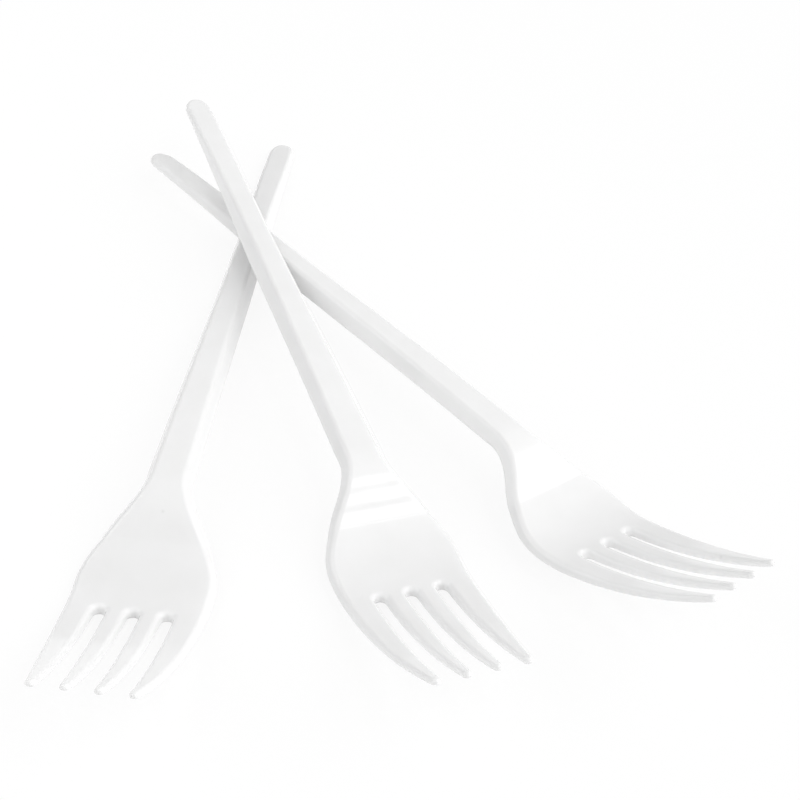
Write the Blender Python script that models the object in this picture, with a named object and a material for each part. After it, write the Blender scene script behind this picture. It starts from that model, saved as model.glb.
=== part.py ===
"""Three white plastic forks that lie across one another.

Each fork is one moulding.  It is drawn first as a flat blank, with s along its
length from the handle's end to the tine tips and y across it.  The blank is then
bent along the side profile, which is a chain of straights and arcs, and every
point keeps its depth below the top face.  Units are metres, +Z is up.
"""
from bisect import bisect_right
from math import atan2, cos, pi, radians, sin, tan

import bmesh
import bpy
from mathutils import Euler, Vector
from mathutils.bvhtree import BVHTree
from mathutils.geometry import delaunay_2d_cdt

# Side profile: lengths along the top face and the slopes between them
HANDLE_TAIL = 0.035
HANDLE_STRAIGHT = 0.045
HANDLE_FRONT = 0.0355
NECK_DROP = 0.012
NECK_SWEEP = 0.0185
TINE_CURVE = 0.029
TAIL_SLOPE = radians(4.2)
HANDLE_SLOPE = radians(1.6)
NECK_SLOPE = radians(-33.5)
BOWL_SLOPE = radians(17.5)
TIP_SLOPE = radians(37.5)

# Widths of the top face
HANDLE_END_WIDTH = 0.0029
NECK_WIDTH = 0.0060
HEAD_WIDTH = 0.0232
TIP_SPAN = 0.0171
FLARE_SETBACK = 0.0015
FLARE_LENGTH = 0.022

# Tines and the slots between them
SLOT_LENGTH = 0.030
SLOT_WIDTH = 0.0026
SLOT_PITCH = 0.0057
TIP_PITCH = 0.0052
TIP_WIDTH = 0.0015

# Walls: the depth of the skirt below the top face and how far it leans outwards
END_DEPTH = 0.0013
MID_DEPTH = 0.0036
NECK_DEPTH = 0.0027
ROOT_DEPTH = 0.0018
TIP_DEPTH = 0.0012
HANDLE_LEAN = 0.0016
HEAD_LEAN = 0.0005
HANDLE_EDGE_RADIUS = 0.0012
TINE_EDGE_RADIUS = 0.0004

# Hollow under the handle and the head
PLATE_THICKNESS = 0.0011
SKIRT_WALL = 0.0012
HOLLOW_MARGIN = 0.004
HOLLOW_CORNER = 0.003
HOLLOW_DRAFT = 0.0002

# How finely the round forms are cut
BEND_STEP = radians(4.5)
ARC_STEPS = 6
EDGE_STEPS = 2
GRID_STEP = 0.003
LONG_STEP = 0.012
SHARP_ANGLE = radians(35.0)

# Triangulation: triangles inside the outer loop, and the distance that counts as one point
INSIDE_ONLY = 1
SAME_POINT = 1e-9

# Lie of the forks: clearance at each crossing, then for each fork where its
# handle's end is in plan, its heading and its roll, in the order of stacking
STACK_GAP = 0.0003
FOOT_STEP = 0.0005
PLACES = (
    ("bottom_fork", (0.0, 0.0), radians(-92.8), radians(2.0)),
    ("middle_fork", (-0.0270, -0.0152), radians(-46.2), radians(-8.3)),
    ("top_fork", (-0.0203, -0.0026), radians(-65.8), radians(-3.9)),
)
PITCH_LIMITS = (radians(-12.0), radians(12.0))
HALVINGS = 30

# Finish
PLASTIC_COLOUR = (0.86, 0.86, 0.86, 1.0)
PLASTIC_ROUGHNESS = 0.18

# Values that follow from the sizes above
HANDLE_MIDDLE = HANDLE_TAIL + HANDLE_STRAIGHT / 2
HANDLE_LENGTH = HANDLE_TAIL + HANDLE_STRAIGHT + HANDLE_FRONT
FORK_LENGTH = HANDLE_LENGTH + NECK_DROP + NECK_SWEEP + TINE_CURVE
ROOT_AT = FORK_LENGTH - SLOT_LENGTH
FLARE_AT = HANDLE_LENGTH + FLARE_SETBACK
WIDEST_AT = FLARE_AT + FLARE_LENGTH
TIP_RADIUS = TIP_WIDTH / 2
SLOT_RADIUS = SLOT_WIDTH / 2


def profile():
    """Stations (s, slope) of the side profile; between two of them the slope changes evenly."""
    return [
        (0.0, TAIL_SLOPE),
        (HANDLE_TAIL, HANDLE_SLOPE),
        (HANDLE_MIDDLE, HANDLE_SLOPE),
        (HANDLE_TAIL + HANDLE_STRAIGHT, HANDLE_SLOPE),
        (HANDLE_LENGTH, 0.0),
        (HANDLE_LENGTH + NECK_DROP, NECK_SLOPE),
        (HANDLE_LENGTH + NECK_DROP + NECK_SWEEP, BOWL_SLOPE),
        (FORK_LENGTH, TIP_SLOPE),
    ]


def blend(stations, s):
    """Value at s of a line through (s, value) stations, held or carried on at the ends."""
    places = [place for place, _ in stations]
    index = min(max(bisect_right(places, s), 1), len(stations) - 1)
    (start, low), (end, high) = stations[index - 1], stations[index]
    return low + (high - low) * (s - start) / (end - start)


def arc_end(x, z, slope, next_slope, length):
    """End of an arc or a straight that starts at (x, z) and turns from slope to next_slope."""
    turn = next_slope - slope
    if abs(turn) < 1e-6:
        return x + length * cos(slope), z + length * sin(slope)
    radius = length / turn
    return x + radius * (sin(next_slope) - sin(slope)), z - radius * (cos(next_slope) - cos(slope))


def bend(s, y, depth):
    """Point of the bent fork, in its own frame, for a point of the flat blank."""
    x, z = 0.0, 0.0
    stations = profile()
    for (start, slope), (end, next_slope) in zip(stations, stations[1:]):
        last = end == stations[-1][0]
        if s <= end or last:
            here = slope + (next_slope - slope) * (s - start) / (end - start)
            x, z = arc_end(x, z, slope, here, s - start)
            return Vector((x + sin(here) * depth, y, z - cos(here) * depth))
        x, z = arc_end(x, z, slope, next_slope, end - start)


def smooth_step(t):
    """Eased rise from 0 to 1, 3t^2 - 2t^3."""
    t = min(max(t, 0.0), 1.0)
    return t * t * (3.0 - 2.0 * t)


def half_width(s):
    """Half width of the top face: a tapering handle, an eased flare, then a parabola to the tips."""
    width = blend([(0.0, HANDLE_END_WIDTH), (HANDLE_LENGTH, NECK_WIDTH)], min(s, HANDLE_LENGTH))
    width += (HEAD_WIDTH - NECK_WIDTH) * smooth_step((s - FLARE_AT) / FLARE_LENGTH)
    taper = max(s - WIDEST_AT, 0.0) / (FORK_LENGTH - TIP_RADIUS - WIDEST_AT)
    return (width - (HEAD_WIDTH - TIP_SPAN) * taper * taper) / 2


def skirt_depth(s):
    """Depth of the skirt's lower edge below the top face."""
    return blend([(0.0, END_DEPTH), (HANDLE_MIDDLE, MID_DEPTH), (HANDLE_LENGTH, NECK_DEPTH),
                  (ROOT_AT, ROOT_DEPTH), (FORK_LENGTH, TIP_DEPTH)], min(max(s, 0.0), FORK_LENGTH))


def skirt_lean(s):
    """How far the skirt's lower edge stands out beyond the edge of the top face."""
    return blend([(HANDLE_LENGTH, HANDLE_LEAN), (ROOT_AT, HEAD_LEAN)], min(max(s, HANDLE_LENGTH), ROOT_AT))


def edge_radius(s):
    """Radius of the round between the top face and the skirt."""
    return blend([(HANDLE_LENGTH, HANDLE_EDGE_RADIUS), (ROOT_AT, TINE_EDGE_RADIUS)],
                 min(max(s, HANDLE_LENGTH), ROOT_AT))


def stations_between(start, end):
    """Places along the fork from start to end, close together where the profile bends most."""
    marks = []
    for (low, slope), (high, next_slope) in zip(profile(), profile()[1:]):
        steps = max(round(abs(next_slope - slope) / BEND_STEP), round((high - low) / LONG_STEP), 1)
        marks += [low + (high - low) * step / steps for step in range(steps)]
    gap = TIP_RADIUS / 2
    inside = [s for s in marks if start + gap < s < end - gap]
    return [start] + inside + [end]


def arc(centre, radius, start, end, steps):
    """Points on a circular arc in the blank's plane, both ends included."""
    turns = [start + (end - start) * step / steps for step in range(steps + 1)]
    return [(centre[0] + radius * cos(turn), centre[1] + radius * sin(turn)) for turn in turns]


def tine_edge(root_y, tip_y):
    """One long edge of a tine, from slot to tip, narrowing faster towards the tip."""
    start, end = ROOT_AT + SLOT_RADIUS, FORK_LENGTH - TIP_RADIUS
    places = stations_between(start, end)[1:-1]
    return [(s, root_y + (tip_y - root_y) * ((s - start) / (end - start)) ** 2) for s in places]


def blank_outline():
    """Closed outline of the top face, anticlockwise, with its four tines and three slots."""
    tip_at = FORK_LENGTH - TIP_RADIUS
    root_at = ROOT_AT + SLOT_RADIUS
    inner_tip, outer_tip = TIP_PITCH / 2, TIP_PITCH * 3 / 2
    end_radius = half_width(HANDLE_END_WIDTH / 2)
    half = arc((end_radius, 0.0), end_radius, pi, pi / 2, ARC_STEPS // 2)
    half += [(s, half_width(s)) for s in stations_between(end_radius, tip_at)[1:-1]]
    half += arc((tip_at, outer_tip), TIP_RADIUS, pi / 2, -pi / 2, ARC_STEPS)
    half += tine_edge(SLOT_PITCH + SLOT_RADIUS, outer_tip - TIP_RADIUS)[::-1]
    half += arc((root_at, SLOT_PITCH), SLOT_RADIUS, pi / 2, pi * 3 / 2, ARC_STEPS)
    half += tine_edge(SLOT_PITCH - SLOT_RADIUS, inner_tip + TIP_RADIUS)
    half += arc((tip_at, inner_tip), TIP_RADIUS, pi / 2, -pi / 2, ARC_STEPS)
    half += tine_edge(SLOT_RADIUS, inner_tip - TIP_RADIUS)[::-1]
    half += arc((root_at, 0.0), SLOT_RADIUS, pi / 2, pi, ARC_STEPS // 2)
    mirrored = [(s, -y) for s, y in reversed(half[1:-1])]
    return (half + mirrored)[::-1]


def hollow_outline():
    """Closed outline of the hollow's mouth, anticlockwise: round at the handle, square at the head."""
    start, end = HOLLOW_MARGIN, ROOT_AT - HOLLOW_MARGIN
    reach = half_width(start) + skirt_lean(start) - SKIRT_WALL
    corner_at = end - HOLLOW_CORNER
    corner_y = half_width(corner_at) + skirt_lean(corner_at) - SKIRT_WALL
    half = arc((start + reach, 0.0), reach, pi, pi / 2, ARC_STEPS // 2)
    half += [(s, half_width(s) + skirt_lean(s) - SKIRT_WALL)
             for s in stations_between(start + reach, corner_at)[1:-1]]
    half += arc((corner_at, corner_y - HOLLOW_CORNER), HOLLOW_CORNER, pi / 2, 0.0, ARC_STEPS // 2)
    half += [(end, y) for y in grid_rows(corner_y - HOLLOW_CORNER)[::-1]]
    mirrored = [(s, -y) for s, y in reversed(half[1:-1])]
    return (half + mirrored)[::-1]


def grid_rows(reach):
    """Heights y from the middle line outwards that stay a little inside reach."""
    count = int(max(reach - GRID_STEP / 2, 0.0) / GRID_STEP)
    return [row * GRID_STEP for row in range(count + 1)]


def grid_points(start, end, inset):
    """Points inside a wide face, in rows across it, so that its triangles follow the bend."""
    points = []
    for s in stations_between(start, end)[1:-1]:
        for y in grid_rows(half_width(s) - inset):
            if half_width(s) - inset > GRID_STEP:
                points += [(s, y)] if y == 0.0 else [(s, y), (s, -y)]
    return points


def outward(outline):
    """Outward direction at each point of an anticlockwise outline, sized for an even offset."""
    directions = []
    for index, (s, y) in enumerate(outline):
        before, after = outline[index - 1], outline[(index + 1) % len(outline)]
        lead = Vector((y - before[1], before[0] - s)).normalized()
        trail = Vector((after[1] - y, s - after[0])).normalized()
        directions.append((lead + trail) / (1.0 + lead.dot(trail)))
    return directions


def edge_section(s):
    """Points (offset, depth) of the wall's section: the round at the top, then the lower edge."""
    lean, depth = skirt_lean(s), skirt_depth(s)
    turn = atan2(depth, lean)
    run = edge_radius(s) * tan(turn / 2)
    section = []
    for step in range(EDGE_STEPS + 1):
        angle = turn * step / EDGE_STEPS
        section.append((edge_radius(s) * sin(angle) - run, edge_radius(s) * (1.0 - cos(angle))))
    return section + [(lean, depth)]


def wall_rows():
    """Closed rows of blank points (s, y, depth) down the wall, from the top face to the skirt's foot."""
    outline = blank_outline()
    directions = outward(outline)
    sections = [edge_section(s) for s, _ in outline]
    rows = []
    for row in range(EDGE_STEPS + 2):
        points = []
        for (s, y), direction, section in zip(outline, directions, sections):
            offset, depth = section[row]
            points.append((s + direction.x * offset, y + direction.y * offset, depth))
        rows.append(points)
    return rows


def hollow_rows():
    """The hollow's mouth and its floor, as closed rows of blank points (s, y, depth)."""
    outline = hollow_outline()
    mouth = [(s, y, skirt_depth(s)) for s, y in outline]
    floor = [(s - direction.x * HOLLOW_DRAFT, y - direction.y * HOLLOW_DRAFT, PLATE_THICKNESS)
             for (s, y), direction in zip(outline, outward(outline))]
    return mouth, floor


def encloses(outline, s, y):
    """Whether a closed row of blank points has the point (s, y) inside."""
    inside = False
    for (start_s, start_y, _), (end_s, end_y, _) in zip(outline, outline[1:] + outline[:1]):
        if (start_y > y) != (end_y > y):
            crossing = start_s + (end_s - start_s) * (y - start_y) / (end_y - start_y)
            inside ^= s < crossing
    return inside


def add_row(mesh, points):
    """Add the bent forms of blank points to the mesh and return (vertex, point) pairs."""
    return [(mesh.verts.new(bend(*point)), point) for point in points]


def add_band(mesh, upper, lower):
    """Join two closed rows of the same length by a band of faces."""
    for index in range(len(upper)):
        after = (index + 1) % len(upper)
        corners = (upper[index], lower[index], lower[after], upper[after])
        mesh.faces.new([vertex for vertex, _ in corners])


def add_face(mesh, rows, inner, facing_up):
    """Fill a closed outer row with triangles over inner points, less the holes that follow it."""
    pairs, edges = [], []
    for row in rows:
        first = len(pairs)
        pairs += row
        edges += [(first + index, first + (index + 1) % len(row)) for index in range(len(row))]
    pairs += inner
    plan = [Vector(point[:2]) for _, point in pairs]
    holes = [[point for _, point in row] for row in rows[1:]]
    places, _, triangles, origins, _, _ = delaunay_2d_cdt(plan, edges, [], INSIDE_ONLY, SAME_POINT)
    for triangle in triangles:
        middle = sum((places[corner] for corner in triangle), Vector((0.0, 0.0))) / 3
        if any(encloses(hole, *middle) for hole in holes):
            continue
        corners = [pairs[origins[corner][0]][0] for corner in triangle]
        mesh.faces.new(corners if facing_up else corners[::-1])


def fork_mesh(name):
    """One fork as a closed mesh: top face, round edge, skirt, underside and hollow."""
    mesh = bmesh.new()
    wall = [add_row(mesh, row) for row in wall_rows()]
    mouth, floor = [add_row(mesh, row) for row in hollow_rows()]
    for upper, lower in [*zip(wall, wall[1:]), (floor, mouth)]:
        add_band(mesh, upper, lower)
    top_grid = [(s, y, 0.0) for s, y in grid_points(HANDLE_LENGTH, ROOT_AT, HANDLE_EDGE_RADIUS)]
    floor_grid = [(s, y, PLATE_THICKNESS) for s, y in
                  grid_points(HANDLE_LENGTH, ROOT_AT - HOLLOW_MARGIN, SKIRT_WALL + HOLLOW_CORNER / 2)]
    add_face(mesh, [wall[0]], add_row(mesh, top_grid), True)
    add_face(mesh, [wall[-1], mouth], [], False)
    add_face(mesh, [floor], add_row(mesh, floor_grid), False)
    bmesh.ops.triangulate(mesh, faces=mesh.faces[:])
    bmesh.ops.recalc_face_normals(mesh, faces=mesh.faces[:])
    data = bpy.data.meshes.new(name)
    mesh.to_mesh(data)
    mesh.free()
    data.shade_smooth()
    data.set_sharp_from_angle(angle=SHARP_ANGLE)
    return data


def white_plastic(name):
    """Glossy white moulded plastic."""
    material = bpy.data.materials.new(name)
    material.use_nodes = True
    shader = material.node_tree.nodes["Principled BSDF"]
    shader.inputs["Base Color"].default_value = PLASTIC_COLOUR
    shader.inputs["Roughness"].default_value = PLASTIC_ROUGHNESS
    shader.inputs["Metallic"].default_value = 0.0
    return material


def handle_foot():
    """Close-set points on the foot of the skirt along the handle, in the fork's own frame."""
    foot = [point for point in wall_rows()[-1] if point[0] < HANDLE_LENGTH]
    ends = [bend(*point) for point in foot]
    samples = []
    for start, end in zip(ends, ends[1:] + ends[:1]):
        steps = max(int((end - start).length / FOOT_STEP), 1)
        samples += [start.lerp(end, step / steps) for step in range(steps)]
    return samples


def pose(data, place, heading, pitch, roll):
    """Matrix that sets a fork down with the lowest point of its head on the floor."""
    turned = Euler((roll, pitch, heading)).to_matrix().to_4x4()
    lowest = min((turned @ vertex.co).z for vertex in data.vertices if vertex.co.x > HANDLE_LENGTH)
    turned.translation = Vector((place[0], place[1], -lowest))
    return turned


def clearance(matrix, foot, trees):
    """Least height of a handle's foot over the forks below it, or over the floor."""
    heights = []
    for point in foot:
        placed = matrix @ point
        if not trees:
            heights.append(placed.z)
        for tree in trees:
            hit = tree.ray_cast(placed + Vector((0.0, 0.0, FORK_LENGTH)), Vector((0.0, 0.0, -1.0)))
            if hit[0] is not None:
                heights.append(placed.z - hit[0].z)
    return min(heights)


def settle(data, place, heading, roll, foot, trees, gap):
    """Pitch a fork about its head until its handle clears what lies below by the gap."""
    low, high = PITCH_LIMITS
    for _ in range(HALVINGS):
        pitch = (low + high) / 2
        if clearance(pose(data, place, heading, pitch, roll), foot, trees) < gap:
            low = pitch
        else:
            high = pitch
    return pose(data, place, heading, high, roll)


def build():
    """Lay the forks down one after another and centre the group over the origin."""
    foot = handle_foot()
    trees, forks = [], []
    for name, place, heading, roll in PLACES:
        data = fork_mesh(name)
        data.materials.append(white_plastic(name + "_plastic"))
        matrix = settle(data, place, heading, roll, foot, trees, STACK_GAP if trees else 0.0)
        fork = bpy.data.objects.new(name, data)
        bpy.context.scene.collection.objects.link(fork)
        fork.location = matrix.translation
        fork.rotation_euler = matrix.to_euler()
        corners = [matrix @ vertex.co for vertex in data.vertices]
        trees.append(BVHTree.FromPolygons(corners, [tuple(face.vertices) for face in data.polygons]))
        forks.append((fork, corners))
    points = [corner for _, corners in forks for corner in corners]
    middle = Vector((
        (min(point.x for point in points) + max(point.x for point in points)) / 2,
        (min(point.y for point in points) + max(point.y for point in points)) / 2,
        min(point.z for point in points),
    ))
    for fork, _ in forks:
        fork.location -= middle


for old in list(bpy.data.objects):
    bpy.data.objects.remove(old, do_unlink=True)
build()
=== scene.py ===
"""Finish, light and camera for three glossy white plastic forks that lie across one another.

Each fork is worked out as a flat blank, with s along its length from the handle's
end to the tine tips and y across it.  The blank is bent along the side profile, a
chain of straights and arcs, and every point keeps its depth below the top face.
"""
from math import pi, radians

import bpy
import numpy as np
from mathutils import Euler, Matrix, Vector
from mathutils.geometry import delaunay_2d_cdt


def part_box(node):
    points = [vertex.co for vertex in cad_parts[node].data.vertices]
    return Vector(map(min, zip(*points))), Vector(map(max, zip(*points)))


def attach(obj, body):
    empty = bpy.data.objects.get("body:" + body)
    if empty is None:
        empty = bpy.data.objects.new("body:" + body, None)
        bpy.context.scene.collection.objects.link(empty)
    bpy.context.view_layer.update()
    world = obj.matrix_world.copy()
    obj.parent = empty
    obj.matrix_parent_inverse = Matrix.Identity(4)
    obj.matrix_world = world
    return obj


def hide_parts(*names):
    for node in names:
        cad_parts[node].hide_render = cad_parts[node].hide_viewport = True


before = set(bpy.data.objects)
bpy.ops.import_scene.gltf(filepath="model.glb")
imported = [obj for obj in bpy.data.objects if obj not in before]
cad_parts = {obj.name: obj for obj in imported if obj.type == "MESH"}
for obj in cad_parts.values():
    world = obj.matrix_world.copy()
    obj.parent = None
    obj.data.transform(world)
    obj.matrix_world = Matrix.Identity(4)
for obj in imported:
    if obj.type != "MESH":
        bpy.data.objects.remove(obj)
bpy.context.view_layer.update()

MM = 0.001

# Side profile, in metres along the top face, and the slopes at its stations
HANDLE_TAIL = 35.0 * MM
HANDLE_STRAIGHT = 45.0 * MM
HANDLE_FRONT = 35.5 * MM
NECK_DROP = 12.0 * MM
NECK_SWEEP = 18.5 * MM
TINE_CURVE = 29.0 * MM
TAIL_SLOPE = radians(4.2)
HANDLE_SLOPE = radians(1.6)
NECK_SLOPE = radians(-33.5)
BOWL_SLOPE = radians(17.5)
TIP_SLOPE = radians(37.5)

# Crease across the neck, where the slope changes fast, and the place where the bowl starts,
# up to which the slope then hardly changes
CREASE_AT = 130.2 * MM
CREASE_LENGTH = 0.7 * MM
CREASE_SLOPES = radians(-26.0), radians(-16.5)
BOWL_AT = 134.9 * MM
BOWL_START_SLOPE = radians(-15.5)

# Widths of the top face, and the length of the handle's oval end
HANDLE_END_WIDTH = 2.9 * MM
HANDLE_CAP = 4.0 * MM
NECK_WIDTH = 6.0 * MM
HEAD_WIDTH = 23.2 * MM
TIP_SPAN = 17.0 * MM
FLARE_SETBACK = 1.5 * MM
FLARE_LENGTH = 22.0 * MM

# Tines and the slots between them
SLOT_LENGTH = 30.0 * MM
SLOT_WIDTH = 2.6 * MM
SLOT_PITCH = 5.7 * MM
TIP_PITCH = 5.2 * MM
TIP_WIDTH = 1.4 * MM

# Walls: depth of the skirt, how far it leans outwards, and its rounds.  Towards the handle's
# end the skirt stands up straighter, and the top face takes the width that it gives up
END_DEPTH = 1.3 * MM
MID_DEPTH = 3.6 * MM
NECK_DEPTH = 2.7 * MM
ROOT_DEPTH = 1.8 * MM
TIP_DEPTH = 1.1 * MM
END_LEAN = 0.5 * MM
HANDLE_LEAN = 1.6 * MM
HEAD_LEAN = 0.5 * MM
TIP_LEAN = 0.15 * MM
END_EDGE_RADIUS = 1.0 * MM
HANDLE_EDGE_RADIUS = 1.2 * MM
ROOT_EDGE_RADIUS = 1.1 * MM
TIP_EDGE_RADIUS = 0.6 * MM
FOOT_RADIUS = 0.4 * MM
MOUTH_RADIUS = 0.3 * MM

# Hollow under the handle and the head
PLATE_THICKNESS = 1.1 * MM
SKIRT_WALL = 1.2 * MM
HOLLOW_MARGIN = 4.0 * MM
HOLLOW_CORNER = 3.0 * MM
HOLLOW_DRAFT = 0.2 * MM
HOLLOW_FILLET = 0.3 * MM

# Share of the hollow's side, one part in this many, that each of its two rounds has at most
HOLLOW_ROUND_PARTS = 3

# Fineness of the curved forms
BEND_STEP = radians(1.6)
LONG_STEP = 2.0 * MM
ARC_STEPS = 16
ROUND_STEPS = 10
GRID_STEP = 1.5 * MM

# How a flat face is filled: triangles inside its outline only, and the distance in metres
# under which two points are one
INSIDE_ONLY = 1
SAME_POINT = 1e-10

# Heading, pitch and roll of each fork, in the order in which they are stacked
LIES = {
    "bottom_fork": (radians(-92.8), radians(-1.767), radians(2.0)),
    "middle_fork": (radians(-46.2), radians(-0.424), radians(-8.3)),
    "top_fork": (radians(-65.8), radians(2.977), radians(-3.9)),
}

# Places along the fork that follow from these sizes, and the radii of the tips and slots
HANDLE_MIDDLE = HANDLE_TAIL + HANDLE_STRAIGHT / 2
STRAIGHT_END_AT = HANDLE_TAIL + HANDLE_STRAIGHT
HANDLE_LENGTH = STRAIGHT_END_AT + HANDLE_FRONT
STEEPEST_AT = HANDLE_LENGTH + NECK_DROP
TINES_BEND_AT = STEEPEST_AT + NECK_SWEEP
FORK_LENGTH = TINES_BEND_AT + TINE_CURVE
ROOT_AT = FORK_LENGTH - SLOT_LENGTH
FLARE_AT = HANDLE_LENGTH + FLARE_SETBACK
WIDEST_AT = FLARE_AT + FLARE_LENGTH
TIP_RADIUS = TIP_WIDTH / 2
SLOT_RADIUS = SLOT_WIDTH / 2
STATION_GAP = TIP_RADIUS / 2

# Stations of the side profile; between two of them the slope changes evenly
STATIONS = np.array([
    0.0, HANDLE_TAIL, HANDLE_MIDDLE, STRAIGHT_END_AT, HANDLE_LENGTH,
    STEEPEST_AT, CREASE_AT, CREASE_AT + CREASE_LENGTH, BOWL_AT, TINES_BEND_AT, FORK_LENGTH,
])
SLOPES = np.array([
    TAIL_SLOPE, HANDLE_SLOPE, HANDLE_SLOPE, HANDLE_SLOPE, 0.0,
    NECK_SLOPE, *CREASE_SLOPES, BOWL_START_SLOPE, BOWL_SLOPE, TIP_SLOPE,
])

# Stations at which the depth of the walls and the round of their edge are given
WALL_STATIONS = [0.0, HANDLE_MIDDLE, HANDLE_LENGTH, ROOT_AT, FORK_LENGTH]


# Form of the fork

def run_along(length, slope, turn):
    """Step (dx, dz) along an arc of that length whose slope grows by turn: the chord,
    length times sin(turn/2)/(turn/2), laid at the mean slope."""
    chord = length * np.sinc(turn / (2 * pi))
    return chord * np.cos(slope + turn / 2), chord * np.sin(slope + turn / 2)


def side_profile(s):
    """Place (x, z) and slope of the top face at each s: whole arcs up to the station
    before s, then the part of the next arc that reaches s."""
    arcs = run_along(np.diff(STATIONS), SLOPES[:-1], np.diff(SLOPES))
    starts = [np.concatenate([[0.0], np.cumsum(step)]) for step in arcs]
    index = np.clip(np.searchsorted(STATIONS, s, side="right") - 1, 0, len(STATIONS) - 2)
    gone = s - STATIONS[index]
    turn = (SLOPES[index + 1] - SLOPES[index]) * gone / (STATIONS[index + 1] - STATIONS[index])
    dx, dz = run_along(gone, SLOPES[index], turn)
    return starts[0][index] + dx, starts[1][index] + dz, SLOPES[index] + turn


def bend(s, y, depth):
    """Points of the bent fork: the side profile at s, moved y across and depth below it,
    square to its slope."""
    x, z, slope = side_profile(s)
    return np.stack([x + np.sin(slope) * depth, y + 0 * x, z - np.cos(slope) * depth], axis=-1)


def bend_directions(s, along, across, up):
    """Directions of the bent fork for directions of the blank: turned by the slope at s."""
    slope = side_profile(s)[2]
    x = along * np.cos(slope) - up * np.sin(slope)
    z = along * np.sin(slope) + up * np.cos(slope)
    return np.stack([x, across + 0 * x, z], axis=-1)


def smooth_step(t):
    """Eased rise from 0 to 1, 3t^2 - 2t^3."""
    t = np.clip(t, 0.0, 1.0)
    return t * t * (3.0 - 2.0 * t)


def upright_share(s):
    """How much less the skirt leans than it does along the handle: all at the handle's end,
    eased to nothing at its middle."""
    return (HANDLE_LEAN - END_LEAN) * (1.0 - smooth_step(s / HANDLE_MIDDLE))


def half_width(s):
    """Half width of the top face: a tapering handle, an eased flare, then a parabola to the
    tips.  The handle is wider by what its skirt leans less."""
    width = np.interp(s, [0.0, HANDLE_LENGTH], [HANDLE_END_WIDTH, NECK_WIDTH])
    width = width + 2 * upright_share(s)
    width = width + (HEAD_WIDTH - NECK_WIDTH) * smooth_step((s - FLARE_AT) / FLARE_LENGTH)
    taper = np.maximum(s - WIDEST_AT, 0.0) / (FORK_LENGTH - TIP_RADIUS - WIDEST_AT)
    return (width - (HEAD_WIDTH - TIP_SPAN) * taper * taper) / 2


def skirt_depth(s):
    """Depth of the skirt's foot below the top face."""
    return np.interp(s, WALL_STATIONS, [END_DEPTH, MID_DEPTH, NECK_DEPTH, ROOT_DEPTH, TIP_DEPTH])


def skirt_lean(s):
    """How far the skirt's foot stands out beyond the edge of the top face."""
    lean = np.interp(s, [HANDLE_LENGTH, ROOT_AT, FORK_LENGTH], [HANDLE_LEAN, HEAD_LEAN, TIP_LEAN])
    return lean - upright_share(s)


def edge_radius(s):
    """Radius of the round between the top face and the skirt."""
    radii = [END_EDGE_RADIUS, HANDLE_EDGE_RADIUS, HANDLE_EDGE_RADIUS, ROOT_EDGE_RADIUS, TIP_EDGE_RADIUS]
    return np.interp(s, WALL_STATIONS, radii)


def stations_between(start, end):
    """Places along the fork from start to end, closest where it bends most.  Both ends are
    left out, with what lies less than a small gap from them."""
    marks = []
    for low, high, slope, next_slope in zip(STATIONS, STATIONS[1:], SLOPES, SLOPES[1:]):
        steps = max(round(abs(next_slope - slope) / BEND_STEP), round((high - low) / LONG_STEP), 1)
        marks.append(np.linspace(low, high, steps, endpoint=False))
    marks = np.concatenate(marks)
    return marks[(marks > start + STATION_GAP) & (marks < end - STATION_GAP)]


def arc(centre, radius, start, end, steps):
    """Points on a circular arc in the blank's plane, both ends included."""
    turn = np.linspace(start, end, steps + 1)
    return np.stack([centre[0] + radius * np.cos(turn), centre[1] + radius * np.sin(turn)], axis=-1)


def tine_edge(root_y, tip_y):
    """One long edge of a tine: it leaves root_y for tip_y with the square of the way gone."""
    start, end = ROOT_AT + SLOT_RADIUS, FORK_LENGTH - TIP_RADIUS
    s = stations_between(start, end)
    return np.stack([s, root_y + (tip_y - root_y) * ((s - start) / (end - start)) ** 2], axis=-1)


def closed(half):
    """Whole anticlockwise outline from its half on the left of the middle line."""
    return np.concatenate([half, half[-2:0:-1] * (1.0, -1.0)])[::-1]


def blank_outline():
    """Outline of the top face: oval handle end, flared head, four tines and three slots.  The
    oval is a circle's arc stretched to the length and the half width of the end."""
    tip_at, root_at = FORK_LENGTH - TIP_RADIUS, ROOT_AT + SLOT_RADIUS
    inner_tip, outer_tip = TIP_PITCH / 2, TIP_PITCH * 3 / 2
    cap_at = HANDLE_CAP - upright_share(0.0)
    cap = arc((0.0, 0.0), 1.0, pi, pi / 2, ARC_STEPS) * (HANDLE_CAP, half_width(cap_at))
    side = stations_between(cap_at, tip_at)
    return closed(np.concatenate([
        cap + (cap_at, 0.0),
        np.stack([side, half_width(side)], axis=-1),
        arc((tip_at, outer_tip), TIP_RADIUS, pi / 2, -pi / 2, ARC_STEPS),
        tine_edge(SLOT_PITCH + SLOT_RADIUS, outer_tip - TIP_RADIUS)[::-1],
        arc((root_at, SLOT_PITCH), SLOT_RADIUS, pi / 2, pi * 3 / 2, ARC_STEPS),
        tine_edge(SLOT_PITCH - SLOT_RADIUS, inner_tip + TIP_RADIUS),
        arc((tip_at, inner_tip), TIP_RADIUS, pi / 2, -pi / 2, ARC_STEPS),
        tine_edge(SLOT_RADIUS, inner_tip - TIP_RADIUS)[::-1],
        arc((root_at, 0.0), SLOT_RADIUS, pi / 2, pi, ARC_STEPS // 2),
    ]))


def grid_rows(reach):
    """Heights y from the middle line outwards that stay a little inside reach."""
    return np.arange(int(max(reach - GRID_STEP / 2, 0.0) / GRID_STEP) + 1) * GRID_STEP


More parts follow.
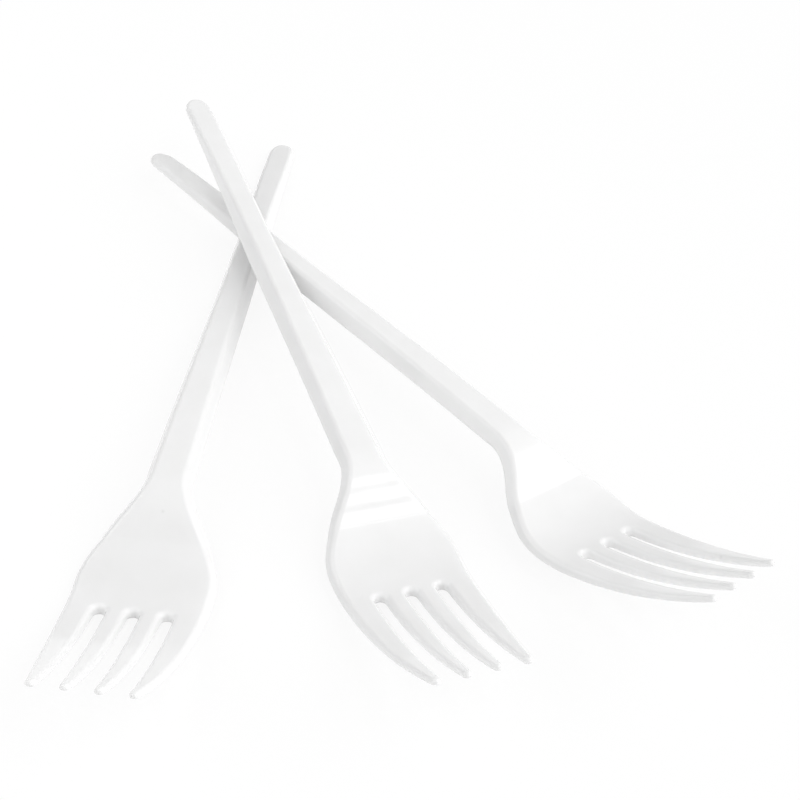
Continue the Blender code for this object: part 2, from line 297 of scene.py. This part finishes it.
def hollow_outline():
    """Outline of the hollow's mouth: round at the handle's end, and square with round
    corners at the head."""
    start, end = HOLLOW_MARGIN, ROOT_AT - HOLLOW_MARGIN
    reach = half_width(start) + skirt_lean(start) - SKIRT_WALL
    corner_at = end - HOLLOW_CORNER
    corner_y = half_width(corner_at) + skirt_lean(corner_at) - SKIRT_WALL
    side = stations_between(start + reach, corner_at)
    across = grid_rows(corner_y - HOLLOW_CORNER)[::-1]
    return closed(np.concatenate([
        arc((start + reach, 0.0), reach, pi, pi / 2, ARC_STEPS // 2),
        np.stack([side, half_width(side) + skirt_lean(side) - SKIRT_WALL], axis=-1),
        arc((corner_at, corner_y - HOLLOW_CORNER), HOLLOW_CORNER, pi / 2, 0.0, ARC_STEPS // 2),
        np.stack([end + 0 * across, across], axis=-1),
    ]))


def outward(outline):
    """Outward direction at each point of an outline: the sum of the two edge normals,
    divided by one plus their dot product, so that offset edges stay parallel."""
    edge = np.roll(outline, -1, axis=0) - outline
    trail = np.stack([edge[:, 1], -edge[:, 0]], axis=-1)
    trail /= np.linalg.norm(trail, axis=1, keepdims=True)
    lead = np.roll(trail, 1, axis=0)
    return (lead + trail) / (1.0 + np.sum(lead * trail, axis=1, keepdims=True))


def grid_points(start, end, inset):
    """Points inside a wide face, in rows across it, so that its triangles follow the bend."""
    rows = []
    for s in stations_between(start, end):
        reach = half_width(s) - inset
        if reach > GRID_STEP:
            y = grid_rows(reach)
            y = np.concatenate([-y[:0:-1], y])
            rows.append(np.stack([s + 0 * y, y], axis=-1))
    return np.concatenate(rows)


class Surface:
    """Points of the blank with their directions, gathered with the faces between them."""

    def __init__(self):
        self.blank, self.directions, self.faces, self.count = [], [], [], 0

    def add(self, s, y, depth, along, across, up):
        """Add points of the blank and the outward directions there; give their numbers."""
        columns = np.broadcast_arrays(s, y, depth, along, across, up)
        shape = columns[0].shape
        columns = [column.reshape(-1) for column in columns]
        self.blank.append(np.stack(columns[:3], axis=-1))
        self.directions.append(np.stack(columns[3:], axis=-1))
        self.count += columns[0].size
        return np.arange(self.count - columns[0].size, self.count).reshape(shape)

    def band(self, numbers):
        """Faces between the rows of a grid whose rows are closed loops."""
        after = np.roll(numbers, -1, axis=1)
        faces = np.stack([numbers[:-1], numbers[1:], after[1:], after[:-1]], axis=-1)
        self.faces += faces.reshape(-1, 4).tolist()

    def fill(self, loops, inner, facing_up):
        """Triangles over the inner points of the first loop, less the holes that follow it."""
        numbers = np.concatenate([*loops, inner])
        places = np.concatenate(self.blank)[numbers, :2]
        edges, first = [], 0
        for loop in loops:
            ring = np.arange(first, first + len(loop))
            edges += np.stack([ring, np.roll(ring, -1)], axis=-1).tolist()
            first += len(loop)
        plan = [Vector(place) for place in places]
        _, _, triangles, origins, _, _ = delaunay_2d_cdt(plan, edges, [], INSIDE_ONLY, SAME_POINT)
        origins = np.array([origin[0] for origin in origins])
        triangles = origins[np.array(triangles)]
        middles = places[triangles].mean(axis=1)
        first = len(loops[0])
        for loop in loops[1:]:
            triangles = triangles[~encloses(places[first:first + len(loop)], middles)]
            middles = places[triangles].mean(axis=1)
            first += len(loop)
        triangles = numbers[triangles]
        self.faces += (triangles if facing_up else triangles[:, ::-1]).tolist()


def encloses(outline, points):
    """Which points a closed outline has inside: those with an odd count of edges to one side."""
    start, end = outline[None], np.roll(outline, -1, axis=0)[None]
    s, y = points[:, None, 0], points[:, None, 1]
    spans = (start[..., 1] > y) != (end[..., 1] > y)
    rise = np.where(spans, end[..., 1] - start[..., 1], 1.0)
    crossing = start[..., 0] + (end[..., 0] - start[..., 0]) * (y - start[..., 1]) / rise
    return np.sum(spans & (s < crossing), axis=1) % 2 == 1


def wall_section(s):
    """Section of the wall at each s, as rows of (offset, depth, outward part, upward part)
    of the point and its direction: an arc from the top face, the sloping skirt, and a
    second arc to the foot, each tangent to what it joins."""
    lean, depth, radius = skirt_lean(s), skirt_depth(s), edge_radius(s)
    turn = np.arctan2(depth, lean)
    run = radius * np.tan(turn / 2)
    rows = []
    for angle in np.linspace(0.0, 1.0, ROUND_STEPS + 1)[:, None] * turn:
        out, up = np.sin(angle), np.cos(angle)
        rows.append((radius * out - run, radius * (1.0 - up), out, up))
    foot_turn = pi - turn
    centre_out = lean - FOOT_RADIUS * np.tan(foot_turn / 2)
    for angle in turn + np.linspace(0.0, 1.0, ROUND_STEPS)[:, None] * foot_turn:
        out, up = np.sin(angle), np.cos(angle)
        rows.append((centre_out + FOOT_RADIUS * out, depth - FOOT_RADIUS - FOOT_RADIUS * up, out, up))
    return [np.array(column) for column in zip(*rows)]


def hollow_section(s):
    """Section of the hollow at each s, from the foot inwards: a round at the mouth, a
    drafted side, and a fillet to the hollow's floor."""
    depth = skirt_depth(s)
    height = depth - PLATE_THICKNESS
    side = np.arctan2(height, HOLLOW_DRAFT)
    fillet = np.minimum(HOLLOW_FILLET, height / HOLLOW_ROUND_PARTS)
    mouth = np.minimum(MOUTH_RADIUS, height / HOLLOW_ROUND_PARTS)
    sweep = np.linspace(0.0, 1.0, ROUND_STEPS)[:, None] * side
    rows = []
    for angle in sweep:
        out, up = np.sin(angle), np.cos(angle)
        rows.append((mouth * np.tan(side / 2) - mouth * out, depth - mouth * (1.0 - up), -out, -up))
    for angle in side - sweep:
        out, up = np.sin(angle), np.cos(angle)
        rows.append((-HOLLOW_DRAFT - fillet * np.tan(side / 2) + fillet * out,
                     PLATE_THICKNESS + fillet * (1.0 - up), -out, -up))
    return [np.array(column) for column in zip(*rows)]


def swept(surface, outline, section):
    """Grid of a section carried round an outline: each point of the section is set off
    from the outline along its outward direction."""
    direction = outward(outline)
    unit = direction / np.linalg.norm(direction, axis=1, keepdims=True)
    offset, depth, out, up = section
    s = outline[:, 0] + direction[:, 0] * offset
    y = outline[:, 1] + direction[:, 1] * offset
    return surface.add(s, y, depth, unit[:, 0] * out, unit[:, 1] * out, up)


def fork_surface():
    """One whole fork in its own frame: points, outward directions, faces and the points'
    places on the flat blank."""
    surface = Surface()
    outline, mouth_outline = blank_outline(), hollow_outline()
    wall = swept(surface, outline, wall_section(outline[:, 0]))
    hollow = swept(surface, mouth_outline, hollow_section(mouth_outline[:, 0]))
    surface.band(wall)
    surface.band(hollow)
    top = grid_points(0.0, ROOT_AT, HANDLE_EDGE_RADIUS)
    top = surface.add(top[:, 0], top[:, 1], 0.0, 0.0, 0.0, 1.0)
    ceiling = grid_points(HANDLE_LENGTH, ROOT_AT - HOLLOW_MARGIN, SKIRT_WALL + HOLLOW_CORNER / 2)
    ceiling = surface.add(ceiling[:, 0], ceiling[:, 1], PLATE_THICKNESS, 0.0, 0.0, -1.0)
    surface.fill([wall[0]], top, True)
    surface.fill([wall[-1], hollow[0]], np.array([], int), False)
    surface.fill([hollow[-1]], ceiling, False)
    blank = np.concatenate(surface.blank)
    s, y, depth = blank.T
    along, across, up = np.concatenate(surface.directions).T
    return bend(s, y, depth), bend_directions(s, along, across, up), surface.faces, blank


def lay_fork(node, points, directions, faces, blank):
    """Turn the fork as its node lies, and set it with the node's middle and lowest height.
    The attribute blank keeps each point's place on the flat blank, for the material."""
    heading, pitch, roll = LIES[node]
    turn = np.array(Euler((roll, pitch, heading)).to_matrix())
    points, directions = points @ turn.T, directions @ turn.T
    low, high = (np.array(corner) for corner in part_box(node))
    points += (low + high) / 2 - (points.min(axis=0) + points.max(axis=0)) / 2
    points[:, 2] += low[2] - points[:, 2].min()
    mesh = bpy.data.meshes.new(node + "_moulding")
    mesh.from_pydata(points.tolist(), [], faces)
    mesh.shade_smooth()
    mesh.normals_split_custom_set_from_vertices(directions.tolist())
    mesh.attributes.new("blank", "FLOAT_VECTOR", "POINT").data.foreach_set("vector", blank.ravel())
    piece = bpy.data.objects.new(node + "_moulding", mesh)
    bpy.context.scene.collection.objects.link(piece)
    return piece


# Materials

WHITE = (1.0, 1.0, 1.0, 1.0)

# Sockets of the Mix node for colours: the share, the two colours and the mixed one
MIX_SHARE, MIX_FIRST, MIX_SECOND, MIX_RESULT = 0, 6, 7, 2

# Value around which the Noise node's noise lies
NOISE_MIDDLE = 0.5


class Value:
    """Wraps a socket, so that shader maths reads as plain Python: each operator adds a node."""

    def __init__(self, tree, socket):
        self.tree, self.socket = tree, socket

    def math(self, operation, *others):
        return self.tree.node("ShaderNodeMath", {"operation": operation}, [self, *others])

    def __add__(self, other):
        return self.math("ADD", other)

    def __sub__(self, other):
        return self.math("SUBTRACT", other)

    def __mul__(self, other):
        return self.math("MULTIPLY", other)

    def __truediv__(self, other):
        return self.math("DIVIDE", other)

    def __rsub__(self, other):
        return self.tree.node("ShaderNodeMath", {"operation": "SUBTRACT"}, [other, self])

    __radd__, __rmul__ = __add__, __mul__


class Tree:
    """Node tree of a material or a world, with one method for all of its nodes."""

    def __init__(self, owner):
        owner.use_nodes = True
        self.nodes, self.links = owner.node_tree.nodes, owner.node_tree.links
        self.nodes.clear()

    def node(self, kind, settings=(), sockets=(), output=0):
        """Add a node: its settings come first, then the values and links of its sockets."""
        node = self.nodes.new(kind)
        for name, value in dict(settings).items():
            setattr(node, name, value)
        pairs = sockets.items() if isinstance(sockets, dict) else enumerate(sockets)
        for name, value in pairs:
            if isinstance(value, Value):
                self.links.new(value.socket, node.inputs[name])
            else:
                node.inputs[name].default_value = value
        return Value(self, node.outputs[output]) if node.outputs else node

    def vector(self, operation, *sockets, output="Vector"):
        """Vector maths on the sockets given."""
        return self.node("ShaderNodeVectorMath", {"operation": operation}, sockets, output)

    def noise(self, place, scale, detail):
        """Soft noise around its middle at a place, with scale waves to the metre, and with
        that many finer octaves."""
        return self.node("ShaderNodeTexNoise", {}, {"Vector": place, "Scale": scale, "Detail": detail})

    def mix(self, share, first, second):
        """Colour between the first and the second, by the share of the second."""
        sockets = {MIX_SHARE: share, MIX_FIRST: first, MIX_SECOND: second}
        return self.node("ShaderNodeMix", {"data_type": "RGBA"}, sockets, output=MIX_RESULT)

    def seen_directly(self):
        """1 for what the camera sees itself, in a gloss or through a clear body, and 0 for
        light."""
        rays = [self.node("ShaderNodeLightPath", output=name)
                for name in ("Is Camera Ray", "Is Glossy Ray", "Is Transmission Ray")]
        return rays[0].math("MAXIMUM", rays[1]).math("MAXIMUM", rays[2])


# White plastic: the two tints of its clouds with their size, and its roughness with the
# spread and the size of the patches in it
CLOUD_DARK = (0.868, 0.868, 0.866, 1.0)
CLOUD_PALE = (0.892, 0.892, 0.893, 1.0)
CLOUD_SIZE = 7.0 * MM
CLOUD_DETAIL = 3.0
CLOUD_CONTRAST = 2.2
ROUGHNESS = 0.115
ROUGHNESS_SPREAD = 0.05
PATCH_SIZE = 3.0 * MM
PATCH_DETAIL = 4.0

# The mould's soft waves, the flow lines along the fork, and the fine grain: size, finer
# octaves and height
WAVE_SIZE = 8.0 * MM
WAVE_DETAIL = 1.0
WAVE_HEIGHT = 0.012 * MM
FLOW_LENGTH = 30.0 * MM
FLOW_WIDTH = 2.5 * MM
FLOW_DETAIL = 2.0
FLOW_HEIGHT = 0.002 * MM
GRAIN_SIZE = 0.7 * MM
GRAIN_DETAIL = 2.0
GRAIN_HEIGHT = 0.0006 * MM

# Worn rim: its depth below the top face, and how much rougher it is at most
RIM_DEPTH = 0.35 * MM
RIM_WEAR = 0.05

# Small grey spots of painted shade where two shallow dents lie, one on the left fork and one on a right
# tine
DENT_SHADE_SPOTS = Vector((-40.3, -39.9, 6.6)) * MM, Vector((55.9, -42.1, 11.0)) * MM
DENT_SHADE_RADIUS = 0.45 * MM
DENT_SHADE_TINT = (0.70, 0.70, 0.69, 1.0)
DENT_SHADE_STRENGTH = 0.5

# Light passes a little way into the plastic
TRANSLUCENCY = 0.5
TRANSLUCENCY_REACH = 1.5 * MM


def white_plastic():
    """Glossy white moulded plastic: faint clouds, soft waves left by the mould, flow lines
    along the fork, fine grain, a slightly worn rim and two grey spots of painted dent shade."""
    material = bpy.data.materials.new("white_plastic_gloss")
    tree = Tree(material)
    place = tree.node("ShaderNodeTexCoord", output="Object")
    blank = tree.node("ShaderNodeAttribute", {"attribute_name": "blank"}, output="Vector")
    lines = tree.vector("MULTIPLY", blank, (1 / FLOW_LENGTH, 1 / FLOW_WIDTH, 1 / FLOW_WIDTH))

    cloud = tree.noise(place, 1 / CLOUD_SIZE, CLOUD_DETAIL)
    cloud = (cloud - NOISE_MIDDLE) * CLOUD_CONTRAST + NOISE_MIDDLE
    tint = tree.mix(cloud, CLOUD_DARK, CLOUD_PALE)
    # Painted shade: each grey spot darkens the colour where a shallow dent lies
    for dent_shade_place in DENT_SHADE_SPOTS:
        distance = tree.vector("DISTANCE", place, dent_shade_place, output="Value")
        dent_shade = (1.0 - distance / DENT_SHADE_RADIUS).math("MAXIMUM", 0.0) * DENT_SHADE_STRENGTH
        tint = tree.mix(dent_shade, tint, DENT_SHADE_TINT)

    depth = tree.node("ShaderNodeSeparateXYZ", {}, [blank], output="Z")
    rim = (1.0 - (depth / RIM_DEPTH - 1.0).math("ABSOLUTE")).math("MAXIMUM", 0.0)
    patches = tree.noise(place, 1 / PATCH_SIZE, PATCH_DETAIL)
    roughness = patches * rim * RIM_WEAR + (patches - NOISE_MIDDLE) * ROUGHNESS_SPREAD + ROUGHNESS

    height = tree.noise(blank, 1 / WAVE_SIZE, WAVE_DETAIL) * WAVE_HEIGHT
    height = height + tree.noise(lines, 1.0, FLOW_DETAIL) * FLOW_HEIGHT
    height = height + tree.noise(place, 1 / GRAIN_SIZE, GRAIN_DETAIL) * GRAIN_HEIGHT
    bump = tree.node("ShaderNodeBump", {}, {"Strength": 1.0, "Distance": 1.0, "Height": height})
    plastic = tree.node("ShaderNodeBsdfPrincipled", {}, {
        "Base Color": tint, "Roughness": roughness, "Normal": bump,
        "Subsurface Weight": TRANSLUCENCY, "Subsurface Radius": (1.0, 1.0, 1.0),
        "Subsurface Scale": TRANSLUCENCY_REACH,
    })
    tree.node("ShaderNodeOutputMaterial", {}, {"Surface": plastic})
    return material


def add_forks():
    """One moulding in place of each packed fork."""
    fork = fork_surface()
    plastic = white_plastic()
    for node in LIES:
        piece = lay_fork(node, *fork)
        piece.data.materials.append(plastic)
        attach(piece, "root")
        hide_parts(node)


# Setting

# Floor: its size in metres, its pale colour, and how much of it the camera sees as plain
# white, over which the rest keeps the shadow
FLOOR_SIZE = 8.0
FLOOR_COLOUR = (0.97, 0.97, 0.97, 1.0)
FLOOR_WHITE_SHARE = 0.88


def add_floor():
    """Wide pale floor, which the camera sees as white with a faint shadow on it."""
    mesh = bpy.data.meshes.new("floor")
    half = FLOOR_SIZE / 2
    corners = [(-half, -half, 0.0), (half, -half, 0.0), (half, half, 0.0), (-half, half, 0.0)]
    mesh.from_pydata(corners, [], [(0, 1, 2, 3)])
    floor = bpy.data.objects.new("floor", mesh)
    bpy.context.scene.collection.objects.link(floor)
    material = bpy.data.materials.new("pale_floor")
    tree = Tree(material)
    pale = tree.node("ShaderNodeBsdfDiffuse", {}, {"Color": FLOOR_COLOUR})
    bright = tree.node("ShaderNodeBsdfDiffuse", {}, {"Color": WHITE})
    white = tree.node("ShaderNodeEmission", {}, {"Color": WHITE, "Strength": 1.0})
    shown = tree.node("ShaderNodeMixShader", {}, [FLOOR_WHITE_SHARE, bright, white])
    surface = tree.node("ShaderNodeMixShader", {}, [tree.seen_directly(), pale, shown])
    tree.node("ShaderNodeOutputMaterial", {}, {"Surface": surface})
    mesh.materials.append(material)


# Softboxes: brightness as the eye sees it, direction from the forks, distance in metres, and
# the two sides of the box, the second of which runs along the last direction.  The two at
# the top show as bright bands across the upper fork's neck
SOFTBOXES = {
    "top_softbox_back": (3.1, (0.388, 0.072, 0.919), 0.75, 0.16, 0.110, (0.401, -0.890, -0.220)),
    "top_softbox_front": (3.1, (0.496, -0.179, 0.856), 0.75, 0.16, 0.149, (0.401, -0.890, -0.220)),
    "right_softbox": (2.1, (0.747, 0.325, 0.579), 0.85, 0.42, 0.38, (0.0, 0.0, 1.0)),
    "left_softbox": (1.27, (-0.75, -0.10, 0.65), 0.40, 0.35, 0.35, (0.0, 1.0, 0.0)),
}
AIM = Vector((0.0, -30.0, 8.0)) * MM

# Pale surround: its even brightness, and its glows low at the right and at the left, each
# with its direction, brightness and the power of the cosine with which it falls off
SURROUND = 0.36
GLOWS = {
    "right": ((0.94, -0.08, 0.34), 1.12, 1.3),
    "left": ((-0.95, -0.22, 0.20), 0.18, 4.0),
}


def add_softbox(name, brightness, direction, distance, width, height, upright):
    """Rectangular lamp at a distance from the forks, turned towards them.  Its power is
    pi times its area times its brightness."""
    lamp = bpy.data.lights.new(name, "AREA")
    lamp.shape = "RECTANGLE"
    lamp.size, lamp.size_y = width, height
    lamp.energy = pi * width * height * brightness
    box = bpy.data.objects.new(name, lamp)
    back = Vector(direction).normalized()
    side = Vector(upright).cross(back).normalized()
    turn = Matrix((side, back.cross(side), back)).transposed()
    box.matrix_world = Matrix.Translation(AIM + back * distance) @ turn.to_4x4()
    box.visible_camera = False
    bpy.context.scene.collection.objects.link(box)


def add_light():
    """Softboxes above, at the right and at the left, in a pale surround that the camera sees
    as white.  Each glow of the surround falls off with a power of the cosine to its middle."""
    for name, box in SOFTBOXES.items():
        add_softbox(name, *box)
    world = bpy.data.worlds.new("studio")
    bpy.context.scene.world = world
    tree = Tree(world)
    camera_ray = tree.node("ShaderNodeLightPath", output="Is Camera Ray")
    direction = tree.node("ShaderNodeTexCoord", output="Generated")
    strength = SURROUND
    for middle, brightness, power in GLOWS.values():
        cosine = tree.vector("DOT_PRODUCT", direction, Vector(middle).normalized(), output="Value")
        strength = cosine.math("MAXIMUM", 0.0).math("POWER", power) * brightness + strength
    surround = tree.node("ShaderNodeBackground", {}, {"Color": WHITE, "Strength": strength})
    white = tree.node("ShaderNodeBackground", {}, {"Color": WHITE, "Strength": 1.0})
    seen = tree.node("ShaderNodeMixShader", {}, [camera_ray, surround, white])
    tree.node("ShaderNodeOutputWorld", {}, {"Surface": seen})


# Camera: its place, how far it looks down from level, its turn to the side and about its own
# line of sight, and its lens and the width of its sensor in millimetres
CAMERA_PLACE = Vector((-1.34, -206.11, 193.15)) * MM
CAMERA_TILT = radians(42.978)
CAMERA_TURN = radians(0.07)
CAMERA_ROLL = radians(5.51)
LENS = 64.42
SENSOR = 36.0


def add_camera():
    """Camera that looks down on the forks from the tine side."""
    data = bpy.data.cameras.new("camera")
    data.lens, data.sensor_width = LENS, SENSOR
    camera = bpy.data.objects.new("camera", data)
    bpy.context.scene.collection.objects.link(camera)
    aim = Euler((pi / 2 - CAMERA_TILT, 0.0, -CAMERA_TURN)).to_matrix()
    turn = aim @ Matrix.Rotation(CAMERA_ROLL, 3, "Z")
    camera.matrix_world = Matrix.Translation(CAMERA_PLACE) @ turn.to_4x4()
    bpy.context.scene.camera = camera


add_forks()
add_floor()
add_light()
add_camera()
bpy.context.scene.view_settings.view_transform = "Standard"
